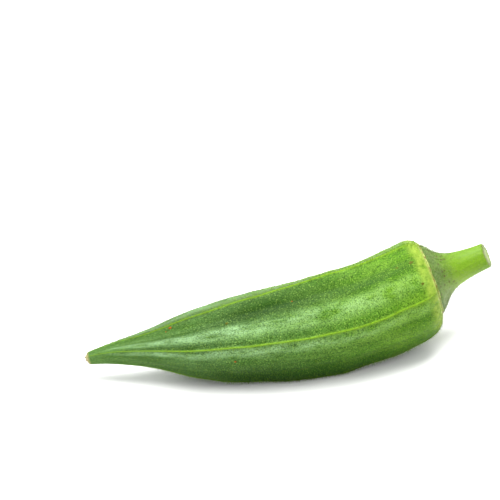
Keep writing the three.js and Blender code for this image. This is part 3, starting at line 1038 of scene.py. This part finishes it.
# %% Hairs from their roots
def hairs(name, root, outward, length, base, lean):
    """Hairs as one mesh: three base points round each root, sunk a little, and a leaning tip.

    Tip = root + length * unit(outward + lean * random direction). The base points stand round the root at
    the radius base. A hair that would lie flatter than the limit stands straight out instead.
    """
    count = len(root)
    drift = chance.normal(0, 1, (count, 3)) * lean
    point = outward + drift
    point = point / np.linalg.norm(point, axis=-1, keepdims=True)
    point = np.where(np.sum(point * outward, -1, keepdims=True) < LEAST_RISE, outward, point)
    first = np.cross(outward, chance.normal(0, 1, (count, 3)))
    first = first / np.linalg.norm(first, axis=-1, keepdims=True)
    second = np.cross(outward, first)
    foot = root - HAIR_SINK * outward
    turn = np.arange(3) * 2 * np.pi / 3
    ring = np.cos(turn)[None, :, None] * first[:, None] + np.sin(turn)[None, :, None] * second[:, None]
    tip = root + point * length[:, None]
    corners = np.concatenate([foot[:, None] + base * ring, tip[:, None]], axis=1)
    corners[..., 2] = np.maximum(corners[..., 2], HAIR_CLEARANCE)
    sides = np.array([[0, 1, 3], [1, 2, 3], [2, 0, 3], [2, 1, 0]])
    faces = (np.arange(count) * 4)[:, None, None] + sides
    mesh = bpy.data.meshes.new(name)
    mesh.vertices.add(count * 4)
    mesh.vertices.foreach_set("co", (corners * MM).ravel())
    mesh.loops.add(faces.size)
    mesh.loops.foreach_set("vertex_index", faces.astype(np.int32).ravel())
    mesh.polygons.add(count * 4)
    mesh.polygons.foreach_set("loop_start", np.arange(0, faces.size, 3, dtype=np.int32))
    mesh.update(calc_edges=True)
    return to_scene(name, mesh)


def grown_from(grid, outward, thickness, count, lengths):
    """Random roots on a grid, the outward direction at each, and a random length for each hair."""
    row, column = random_places(grid, thickness, count)
    return on_grid(grid, row, column), on_grid(outward, row, column), chance.uniform(*lengths, count)


DOWN_SHINE = 0.1
POD_DOWN_GREEN, CONE_DOWN_GREEN = (0.18, 0.30, 0.03), (0.22, 0.30, 0.11)
pale_down = plain_material("pale_down", 0.6, POD_DOWN_GREEN, Specular_IOR_Level=DOWN_SHINE)
cone_down = plain_material("cone_down", 0.6, CONE_DOWN_GREEN, Specular_IOR_Level=DOWN_SHINE)
print("plain finishes for the down:", pale_down.name, cone_down.name)

# %% Down on the capsule
DOWN_COUNT, DOWN_LENGTHS, DOWN_BASE, DOWN_LEAN = 38000, (0.30, 0.60), 0.022, 0.5
MORE_ON_RIBS, MORE_AT_SHOULDER = 1.6, 0.5
down_thickness = 1 + MORE_ON_RIBS * in_rib_line + MORE_AT_SHOULDER * near_shoulder
down_roots = grown_from(skin, skin_outward, down_thickness, DOWN_COUNT, DOWN_LENGTHS)
pod_down = hairs("pod_down", *down_roots, DOWN_BASE, DOWN_LEAN)
pod_down.data.materials.append(pale_down)
print("down on the capsule:", DOWN_COUNT, "hairs,", round(volume_of(pod_down) * 1000, 2), "mm3")

# %% Longer hairs along the ribs
RIB_HAIR_COUNT, RIB_HAIR_LENGTHS, RIB_HAIR_BASE, RIB_HAIR_LEAN = 6000, (0.45, 0.95), 0.034, 0.55
AWAY_FROM_RIBS = 0.02
rib_roots = grown_from(skin, skin_outward, AWAY_FROM_RIBS + beside_rib**3, RIB_HAIR_COUNT, RIB_HAIR_LENGTHS)
rib_down = hairs("rib_down", *rib_roots, RIB_HAIR_BASE, RIB_HAIR_LEAN)
rib_down.data.materials.append(pale_down)
print("down on the ribs:", RIB_HAIR_COUNT, "hairs,", round(volume_of(rib_down) * 1000, 2), "mm3")

# %% Down on the cone and the stalk
CONE_HAIR_COUNT, CONE_HAIR_LENGTHS, CONE_HAIR_BASE, CONE_HAIR_LEAN = 4500, (0.30, 1.00), 0.028, 0.6
ON_STALK, MORE_ON_CONE, CONE_THINS = 0.25, 1.5, (9, 2)
cone_thickness = ON_STALK + MORE_ON_CONE * smooth(*CONE_THINS, stem_facts["down_stalk"])
cone_thickness = cone_thickness * (stem_facts["cut"] < 0.01)
cone_roots = grown_from(stem_points, stem_outward, cone_thickness, CONE_HAIR_COUNT, CONE_HAIR_LENGTHS)
stem_down = hairs("stem_down", *cone_roots, CONE_HAIR_BASE, CONE_HAIR_LEAN)
stem_down.data.materials.append(cone_down)
print("down on the stem:", CONE_HAIR_COUNT, "hairs,", round(volume_of(stem_down) * 1000, 2), "mm3")

# %% [markdown]
# ## Scabs and grit
#
# A picked pod carries small marks: a few orange-brown scabs where it rubbed, paler healed ones, and a dark
# speck of grit. They could be painted in the skin's material, but each stands up a little, so it is a
# small dome laid on the skin, with a ragged edge and one plain colour.

# %% Marks on the skin
MARK_RINGS, MARK_POINTS = 4, 14
MARK_TOP, MARK_RAGGEDNESS, MARK_SINK, MARK_SHINE = 0.12, 0.22, 0.02, 0.08
# Each mark: distance from the tip, degrees round from the front rib, length, width and height, finish.
MARKS = [
    (20.6, 66, 0.85, 0.60, 0.18, "scab"),
    (19.5, 60, 0.35, 0.28, 0.10, "scab"),
    (34.0, -24, 0.55, 0.45, 0.14, "scab"),
    (33.0, 43, 0.95, 0.60, 0.08, "pale_scab"),
    (48.5, 53, 0.42, 0.34, 0.10, "scab"),
    (53.0, 22, 0.28, 0.26, 0.14, "grit"),
    (78.3, 49, 0.90, 0.50, 0.06, "pale_scab"),
    (82.7, 48, 1.30, 0.90, 0.06, "pale_scab"),
    (83.4, 18, 1.10, 0.80, 0.06, "pale_scab"),
    (63.0, -14, 0.40, 0.30, 0.09, "pale_scab"),
    (70.0, 118, 0.60, 0.40, 0.10, "pale_scab"),
    (41.0, 105, 0.45, 0.35, 0.11, "scab"),
    (25.0, 160, 0.55, 0.40, 0.11, "pale_scab"),
    (60.0, 172, 0.50, 0.35, 0.10, "scab"),
    (78.0, 200, 0.45, 0.40, 0.11, "pale_scab"),
    (49.0, -50, 0.45, 0.30, 0.10, "pale_scab"),
]
MARK_COLOURS = {
    "scab": (0.26, 0.085, 0.010),
    "pale_scab": (0.070, 0.078, 0.006),
    "grit": (0.02, 0.02, 0.015),
}


def mark_domes(marks):
    """Domes on the skin, from an outer ring to a small one at the top.

    Each point of a ring wanders in or out, and height = high * cos(a quarter turn * the ring's reach).
    """
    at_distance, at_degrees, long, wide, high = np.array([mark[:5] for mark in marks], float).T
    skin_rows = TIP_ROWS + BODY_ROWS + SHOULDER_ROWS
    row = np.interp(at_distance, distance[:skin_rows, 0], np.arange(skin_rows))
    whole_turn = np.append(along[0], 2 * np.pi)
    column = np.interp(np.radians(at_degrees) % (2 * np.pi), whole_turn, np.arange(ROUND_POINTS + 1))
    place = on_grid(skin, row, column)[:, None, None]
    out = on_grid(skin_outward, row, column)
    ahead = on_grid(skin, row + 1, column) - place[:, 0, 0]
    ahead = ahead - out * np.sum(ahead * out, -1, keepdims=True)
    ahead = ahead / np.linalg.norm(ahead, axis=-1, keepdims=True)
    beside = np.cross(out, ahead)
    reach = np.linspace(1, MARK_TOP, MARK_RINGS)[None, :, None]
    angle = (np.arange(MARK_POINTS) / MARK_POINTS * 2 * np.pi)[None, None, :]
    edge = 1 + MARK_RAGGEDNESS * chance.normal(0, 1, (len(marks), 1, MARK_POINTS)) * reach
    x = (long / 2)[:, None, None] * reach * edge * np.cos(angle)
    y = (wide / 2)[:, None, None] * reach * edge * np.sin(angle)
    z = high[:, None, None] * np.cos(reach * np.pi / 2) - MARK_SINK
    return (place + x[..., None] * ahead[:, None, None] + y[..., None] * beside[:, None, None]
            + z[..., None] * out[:, None, None])


def mark_piece(name, domes, material):
    """One mesh from all the domes of a finish: a fan closes each dome's top and its sunk underside."""
    count = len(domes)
    ends = np.stack([domes[:, -1].mean(1), domes[:, 0].mean(1)], axis=1)
    points = np.concatenate([domes.reshape(count, -1, 3), ends], axis=1)
    ring, corner = (a.ravel() for a in np.mgrid[0 : MARK_RINGS - 1, 0:MARK_POINTS])
    after = (corner + 1) % MARK_POINTS
    quads = np.stack([ring * MARK_POINTS + corner, ring * MARK_POINTS + after,
                      (ring + 1) * MARK_POINTS + after, (ring + 1) * MARK_POINTS + corner], -1)
    c = np.arange(MARK_POINTS)
    top_row, top = (MARK_RINGS - 1) * MARK_POINTS, MARK_RINGS * MARK_POINTS
    over = np.stack([top_row + c, top_row + (c + 1) % MARK_POINTS, np.full(MARK_POINTS, top)], -1)
    under = np.stack([(c + 1) % MARK_POINTS, c, np.full(MARK_POINTS, top + 1)], -1)
    starts = [k * points.shape[1] for k in range(count)]
    faces = [(face + start).tolist() for start in starts for kind in (quads, over, under) for face in kind]
    mesh = bpy.data.meshes.new(name)
    mesh.from_pydata((points.reshape(-1, 3) * MM).tolist(), [], faces)
    mesh.polygons.foreach_set("use_smooth", np.ones(len(faces), bool))
    mesh.materials.append(material)
    piece = to_scene(name, mesh)
    return piece


for kind, tone in MARK_COLOURS.items():
    chosen = [mark for mark in MARKS if mark[5] == kind]
    mark_material = plain_material("okra_" + kind, 0.6, tone, Specular_IOR_Level=MARK_SHINE)
    marks_made = mark_piece("marks_" + kind, mark_domes(chosen), mark_material)
    print(kind, len(chosen), "marks,", round(volume_of(marks_made) * 1000, 3), "mm3")

# %% [markdown]
# ## The dry stub
#
# The flower's style stood on the tip of the beak. It dried and broke off, and left a short rusty stub with
# a torn end. A cone would be too clean, so this is a small dome, torn by waves round it that grow towards
# its end.

# %% The dry stub of the style
STUB_ROWS, STUB_POINTS, STUB_LENGTH, STUB_RADIUS = 14, 30, 0.85, 1.05
STUB_TEAR, STUB_FINE_TEAR, STUB_CLOSING = 0.16, 0.10, 0.93
STUB_OVERLAP, STUB_UNEVENNESS = 0.25, 0.18


def stub_grid():
    """A ragged dome off the tip, from its end back to its root.

    Reach = radius * sqrt(1 - closing * share of the length squared), torn by waves round it.
    """
    centre, facing, side, top = section_at(0.0)
    t = np.linspace(0, 1, STUB_ROWS)[:, None]
    angle = (np.arange(STUB_POINTS) / STUB_POINTS * 2 * np.pi)[None, :]
    torn = 1 + STUB_TEAR * t * np.sin(5 * angle + 1) + STUB_FINE_TEAR * t * np.sin(11 * angle)
    reach = STUB_RADIUS * np.sqrt(1 - STUB_CLOSING * t**2) * torn
    back_off = STUB_OVERLAP - STUB_LENGTH * t * (1 + STUB_UNEVENNESS * np.sin(4 * angle + 2) * t)
    out = np.cos(angle)[..., None] * side + np.sin(angle)[..., None] * top
    return (centre + reach[..., None] * out + back_off[..., None] * facing)[::-1]


stub_edge = np.linspace(1, 0, STUB_ROWS)[:, None] * np.ones((1, STUB_POINTS))
dry_stub = closed_skin("dry_stub", set_down(stub_grid()), {"edge": stub_edge})
print("dry stub", round(volume_of(dry_stub) * 1000, 2), "mm3")

# %% The stub's material
STUB_RUST, STUB_TAN, STUB_GREY = (0.27, 0.16, 0.045), (0.36, 0.31, 0.16), (0.13, 0.09, 0.05)
STUB_GRAINS_PER_M = 2400


def stub_material():
    """Dry tissue: rust at the root and tan towards the torn end, flecked grey-brown by a fine grain."""
    material, tree, shader = new_material("dry_tissue", 0.75)
    edge = attribute(tree, "edge")
    where = add(tree, "ShaderNodeTexCoord").outputs["Object"]
    grain = noise(tree, where, STUB_GRAINS_PER_M, 3)
    colour = mix(tree, stretch(tree, edge, 0.1, 0.5), STUB_RUST, STUB_TAN)
    colour = mix(tree, stretch(tree, grain, 0.50, 0.62), colour, STUB_GREY)
    finish(tree, shader, colour, grain, 0.8, 0.00012)
    return material


dry_stub.data.materials.append(stub_material())
print("dry tissue:", len(bpy.data.materials["dry_tissue"].node_tree.nodes), "nodes")

# %% [markdown]
# ## The table and the light
#
# A white table under a white tent: a long soft panel overhead lights the upper faces, and a bright, even
# surround fills the rest. Several small lamps would do too, but each would leave its own hard shadow. Both
# are given in metres, because nothing here is measured on the pod.

# %% Table
TABLE_HALF, TABLE_WHITE, TABLE_ROUGHNESS = 1.5, (0.9, 0.9, 0.9), 0.35
table_corners = [(TABLE_HALF * x, TABLE_HALF * y, 0) for x, y in ((-1, -1), (1, -1), (1, 1), (-1, 1))]
floor_mesh = bpy.data.meshes.new("table_top")
floor_mesh.from_pydata(table_corners, [], [(0, 1, 2, 3)])
floor = bpy.data.objects.new("table_top", floor_mesh)
bpy.context.scene.collection.objects.link(floor)
floor.data.materials.append(plain_material("table_white", TABLE_ROUGHNESS, TABLE_WHITE))
print("table:", 2 * TABLE_HALF, "m square")

# %% Lights
PANEL_PLACE, PANEL_TARGET = Vector((-0.02, 0.04, 0.45)), Vector((0, 0, 0.01))
PANEL_WIDTH, PANEL_DEPTH, PANEL_WATTS = 0.5, 0.26, 5
TENT_WHITE, TENT_STRENGTH = (1, 1, 1, 1), 1.1
lamp = bpy.data.lights.new("overhead_panel", "AREA")
lamp.shape = "RECTANGLE"
lamp.size, lamp.size_y, lamp.energy = PANEL_WIDTH, PANEL_DEPTH, PANEL_WATTS
panel = bpy.data.objects.new("overhead_panel", lamp)
panel.location = PANEL_PLACE
panel.rotation_mode = "QUATERNION"
panel.rotation_quaternion = (PANEL_TARGET - PANEL_PLACE).to_track_quat("-Z", "Y")
bpy.context.scene.collection.objects.link(panel)
world = bpy.data.worlds.new("white_tent")
world.use_nodes = True
world.node_tree.nodes["Background"].inputs["Color"].default_value = TENT_WHITE
world.node_tree.nodes["Background"].inputs["Strength"].default_value = TENT_STRENGTH
bpy.context.scene.world = world
bpy.context.scene.view_settings.view_transform = "Standard"
